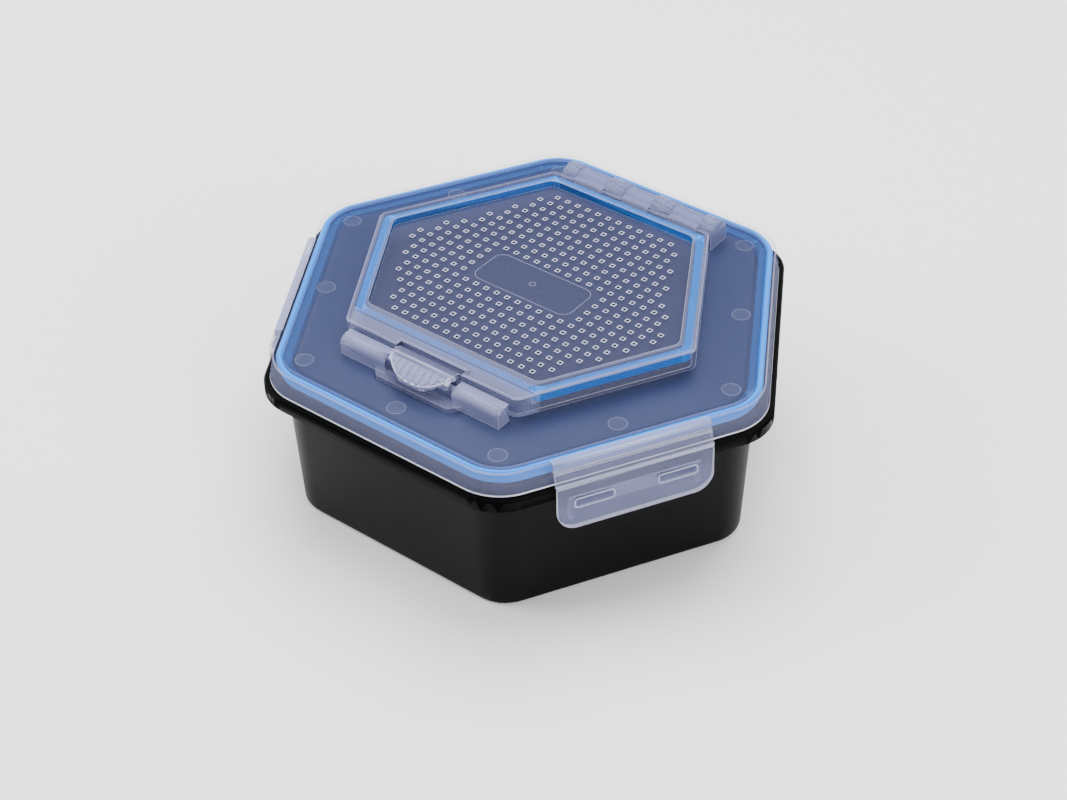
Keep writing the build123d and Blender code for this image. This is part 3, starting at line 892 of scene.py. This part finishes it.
class BAITBOX_OT_tongue(bpy.types.Operator):
    """Dress the thumb tongue and give it its rim and rounded crown ends"""

    bl_idname = "bait_box.tongue"
    bl_label = "Thumb tongue"

    def execute(self, context):
        latch = settings().latch
        dressed("thumb_latch", "thumb_tongue", "latch", "thick")
        crown = -latch.crown_reach
        side = latch.half_width - latch.rim_radius
        lip = latch.visor_reach - latch.rim_radius
        lip_side = visor_lip(side) - latch.rim_radius / 2
        end_y = crown - lip_side
        end_z = visor_top(lip_side) - latch.rim_radius / 2
        handle_x = side * RIM_HANDLES
        handle_y = crown - handle_for(lip, lip_side)
        handle_z = handle_for(visor_top(lip), visor_top(lip_side))
        rim = bead(((-side, end_y, end_z), (-handle_x, handle_y, handle_z),
                    (handle_x, handle_y, handle_z), (side, end_y, end_z)),
                   latch.rim_radius, "visor_rim")
        # The visor's rim and the crown ends are painted light, partly as a highlight
        settle(rim, "visor_rim", "latch", "soft")
        top = HATCH_TOP - latch.ear_radius - latch.ear_depth
        for sign, name in ((-1, "crown_end_left"), (1, "crown_end_right")):
            x = sign * (latch.half_width - latch.ear_radius)
            ear = bead([(x, crown + back, top + up) for back, up in EAR_CURVE],
                       latch.ear_radius, name)
            settle(ear, name, "latch", "soft")
        return {"FINISHED"}


class BAITBOX_OT_clips(bpy.types.Operator):
    """Dress the two side clips, each a link and a flap with a rim round each window"""

    bl_idname = "bait_box.clips"
    bl_label = "Side clips"

    def execute(self, context):
        rim = self.window_rim()
        for side, angle in CLIP_ANGLES.items():
            dressed("clip_link_" + side, "link_strip_" + side, "link_" + side, "clip")
            flap = dressed("clip_flap_" + side, "flap_plate_" + side, "flap_" + side,
                           "clip", [((0, 0, FLAP_FOOT), UP)])
            # The flap's narrow faces are painted near-white as a highlight
            refinish(flap, ("web", is_flap_foot), ("pale", partial(is_flap_edge, angle)),
                     ("thick", partial(is_catch, angle)))
            for sign, place in ((-1, "first"), (1, "second")):
                piece = copied(rim)
                piece.matrix_world = self.on_flap(sign, angle)
                # The window rims are painted light, partly as a highlight
                settle(piece, "window_rim_" + place + "_" + side, "flap_" + side, "soft")
        take(rim)
        bpy.ops.object.delete()
        return {"FINISHED"}

    def window_rim(self):
        """A rounded rim that stands upright in the middle, to be copied."""
        clips = settings().clips
        deselect()
        bpy.ops.mesh.primitive_plane_add(size=1, rotation=(-radians(90), 0, 0))
        rim = bpy.context.object
        rim.scale = (clips.window_long, clips.window_high, 1)
        bpy.ops.object.transform_apply(location=False, rotation=True, scale=True)
        round_corners(clips.window_round, 6)
        return raised_line(clips.window_line, clips.window_proud)

    def on_flap(self, sign, angle):
        """Where a rim goes: on one side of a flap's middle, leaning with the flap's face."""
        clips = settings().clips
        turn = Matrix.Rotation(radians(angle - 90), 4, "Z")
        shift = Vector((sign * clips.window_offset, clips.face_reach, clips.window_height))
        lean = Matrix.Rotation(clips.draft, 4, "X")
        return turn @ Matrix.Translation(shift) @ lean


def hole_places():
    """Places of the mesh's holes: a square grid inside the well, with a plain middle."""
    mesh = settings().mesh
    columns = ceil(mesh.side / cos(HALF_SIDE) / mesh.pitch)
    places = []
    for column in range(-columns, columns):
        x = (column + 0.5) * mesh.pitch
        y = mesh.side - mesh.back_margin
        while y > mesh.front_margin - mesh.front:
            slant = abs(x) * cos(HALF_SIDE) + abs(y) * sin(HALF_SIDE)
            plain_x = abs(x) < mesh.plain_width / 2
            plain_y = abs(y - mesh.plain_offset) < mesh.plain_depth / 2
            if slant < mesh.side - mesh.margin and not (plain_x and plain_y):
                places.append((x, y, mesh_height()))
            y -= mesh.pitch
    return places


class BAITBOX_OT_hole_rims(bpy.types.Operator):
    """Raise a square rim round each hole of the ventilation mesh"""

    bl_idname = "bait_box.hole_rims"
    bl_label = "Hole rims"

    def execute(self, context):
        mesh = settings().mesh
        deselect()
        bpy.ops.mesh.primitive_plane_add(size=mesh.rim)
        rim = raised_line((mesh.rim - mesh.rim_inside) / 2, mesh.rim_height)
        # The hole rims are painted light, partly as a highlight
        settle(repeated(rim, hole_places()), "mesh_hole_rims", "hatch", "soft")
        return {"FINISHED"}


class BAITBOX_OT_plain_area(bpy.types.Operator):
    """Raise the rounded outline and the gate mark in the middle of the mesh"""

    bl_idname = "bait_box.plain_area"
    bl_label = "Plain area outline"

    def execute(self, context):
        mesh = settings().mesh
        top = mesh_height()
        deselect()
        bpy.ops.mesh.primitive_plane_add(size=1, location=(0, mesh.plain_offset, top))
        outline = context.object
        outline.scale = (mesh.outline_width, mesh.outline_depth, 1)
        bpy.ops.object.transform_apply(location=False, rotation=False, scale=True)
        round_corners(mesh.outline_corner, 8)
        raised_line(mesh.outline_line, mesh.rim_height / 2)
        settle(outline, "mesh_plain_outline", "hatch", "mark")
        deselect()
        bpy.ops.mesh.primitive_circle_add(vertices=24, radius=mesh.gate, fill_type="NGON",
                                          location=(0, mesh.plain_offset, top))
        gate = raised_line(mesh.outline_line, mesh.rim_height / 2)
        settle(gate, "mesh_gate_mark", "hatch", "mark")
        return {"FINISHED"}


class BAITBOX_OT_ejector_marks(bpy.types.Operator):
    """Raise the round ejector marks on the lid's panel"""

    bl_idname = "bait_box.ejector_marks"
    bl_label = "Ejector marks"

    def execute(self, context):
        marks = settings().marks
        reaches = [(angle, marks.side_reach) for angle in SIDES]
        reaches += [(angle, marks.corner_reach) for angle in CORNERS]
        places = [(reach * cos(radians(angle)), reach * sin(radians(angle)), panel_height())
                  for angle, reach in reaches]
        deselect()
        bpy.ops.mesh.primitive_circle_add(vertices=40, radius=marks.radius, fill_type="NGON")
        ring = raised_line(marks.line, marks.height)
        settle(repeated(ring, places), "lid_ejector_marks", "lid", "mark")
        deselect()
        bpy.ops.mesh.primitive_cylinder_add(vertices=40, radius=marks.radius - marks.line,
                                            depth=marks.height)
        disc = context.object
        settle(repeated(disc, places), "lid_ejector_discs", "lid", "seal_window")
        return {"FINISHED"}


# Each softbox's name, place and side in metres, and power in watts
SOFTBOXES = (
    ("overhead_softbox", (-0.15, 0.35, 1.1), 1.0, 26),
    ("left_softbox", (-0.9, -0.5, 0.7), 0.7, 12.5),
    ("right_softbox", (0.9, -0.2, 0.6), 0.6, 8),
)
# In millimetres, as the focal length of a lens
SENSOR_WIDTH = 36


class BAITBOX_OT_stage(bpy.types.Operator):
    """Set up the pale floor, the soft lights and the camera"""

    bl_idname = "bait_box.stage"
    bl_label = "Stage"

    def execute(self, context):
        stage = settings().stage
        deselect()
        bpy.ops.mesh.primitive_plane_add(size=stage.floor_size, location=(0, 0, 0))
        floor = context.object
        floor.name = "studio_floor"
        floor.data.materials.append(painted_board())
        self.light(context, stage)
        self.place_camera(context, stage)
        return {"FINISHED"}

    def light(self, context, stage):
        """Hangs the softboxes, which face the middle, and lights the room evenly."""
        for name, place, side, power in SOFTBOXES:
            bpy.ops.object.light_add(type="AREA", location=place)
            softbox = context.object
            softbox.name = name
            softbox.data.shape = "SQUARE"
            softbox.data.size = side
            softbox.data.energy = power
            softbox.rotation_euler = Vector(place).to_track_quat("Z", "Y").to_euler()
        world = bpy.data.worlds.new("studio_grey")
        world.use_nodes = True
        background = world.node_tree.nodes["Background"]
        background.inputs["Color"].default_value = (*stage.sky, 1)
        background.inputs["Strength"].default_value = stage.sky_strength
        context.scene.world = world

    def place_camera(self, context, stage):
        """Puts the camera where the photograph's stood, turned and rolled as it was."""
        right = Vector((cos(stage.azimuth), sin(stage.azimuth), 0))
        back = Vector((sin(stage.azimuth) * cos(stage.elevation),
                       -cos(stage.azimuth) * cos(stage.elevation), sin(stage.elevation)))
        up = back.cross(right)
        turned_right = cos(stage.roll) * right + sin(stage.roll) * up
        turned_up = cos(stage.roll) * up - sin(stage.roll) * right
        bpy.ops.object.camera_add(location=stage.place)
        camera = context.object
        camera.name = "photo_camera"
        turn = Matrix((turned_right, turned_up, back)).transposed()
        camera.matrix_world = Matrix.Translation(stage.place) @ turn.to_4x4()
        camera.data.sensor_width = SENSOR_WIDTH
        camera.data.lens = stage.focal * SENSOR_WIDTH / stage.picture
        camera.data.clip_start = stage.clip_start
        context.scene.camera = camera


class BaitBoxSettings(bpy.types.PropertyGroup):
    """All the values of the bait box."""

    finishes: bpy.props.PointerProperty(type=BaitBoxFinishes)
    mesh: bpy.props.PointerProperty(type=BaitBoxMesh)
    marks: bpy.props.PointerProperty(type=BaitBoxMarks)
    seal: bpy.props.PointerProperty(type=BaitBoxSeal)
    latch: bpy.props.PointerProperty(type=BaitBoxLatch)
    clips: bpy.props.PointerProperty(type=BaitBoxClips)
    stage: bpy.props.PointerProperty(type=BaitBoxStage)


GROUPS = (
    BaitBoxFinishes,
    BaitBoxMesh,
    BaitBoxMarks,
    BaitBoxSeal,
    BaitBoxLatch,
    BaitBoxClips,
    BaitBoxStage,
    BaitBoxSettings,
)
OPERATORS = (
    BAITBOX_OT_tub,
    BAITBOX_OT_lid,
    BAITBOX_OT_seals,
    BAITBOX_OT_hatch,
    BAITBOX_OT_tongue,
    BAITBOX_OT_clips,
    BAITBOX_OT_hole_rims,
    BAITBOX_OT_plain_area,
    BAITBOX_OT_ejector_marks,
    BAITBOX_OT_stage,
)


class BAITBOX_PT_sidebar(bpy.types.Panel):
    """The steps and values of the bait box"""

    bl_idname = "BAITBOX_PT_sidebar"
    bl_label = "Bait Box"
    bl_space_type = "VIEW_3D"
    bl_region_type = "UI"
    bl_category = "Bait Box"

    def draw(self, context):
        for operator in OPERATORS:
            self.layout.operator(operator.bl_idname)
        for part in BaitBoxSettings.__annotations__:
            group = getattr(settings(), part)
            box = self.layout.box()
            for name in group.__annotations__:
                box.prop(group, name)


def register():
    for group in GROUPS:
        bpy.utils.register_class(group)
    bpy.types.Scene.bait_box = bpy.props.PointerProperty(type=BaitBoxSettings)
    for operator in OPERATORS:
        bpy.utils.register_class(operator)
    bpy.utils.register_class(BAITBOX_PT_sidebar)


def unregister():
    bpy.utils.unregister_class(BAITBOX_PT_sidebar)
    for operator in reversed(OPERATORS):
        bpy.utils.unregister_class(operator)
    del bpy.types.Scene.bait_box
    for group in reversed(GROUPS):
        bpy.utils.unregister_class(group)


def main():
    """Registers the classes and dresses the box."""
    register()
    bpy.ops.bait_box.tub()
    bpy.ops.bait_box.lid()
    bpy.ops.bait_box.seals()
    bpy.ops.bait_box.hatch()
    bpy.ops.bait_box.tongue()
    bpy.ops.bait_box.clips()
    bpy.ops.bait_box.hole_rims()
    bpy.ops.bait_box.plain_area()
    bpy.ops.bait_box.ejector_marks()
    bpy.ops.bait_box.stage()


if __name__ == "__main__":
    main()
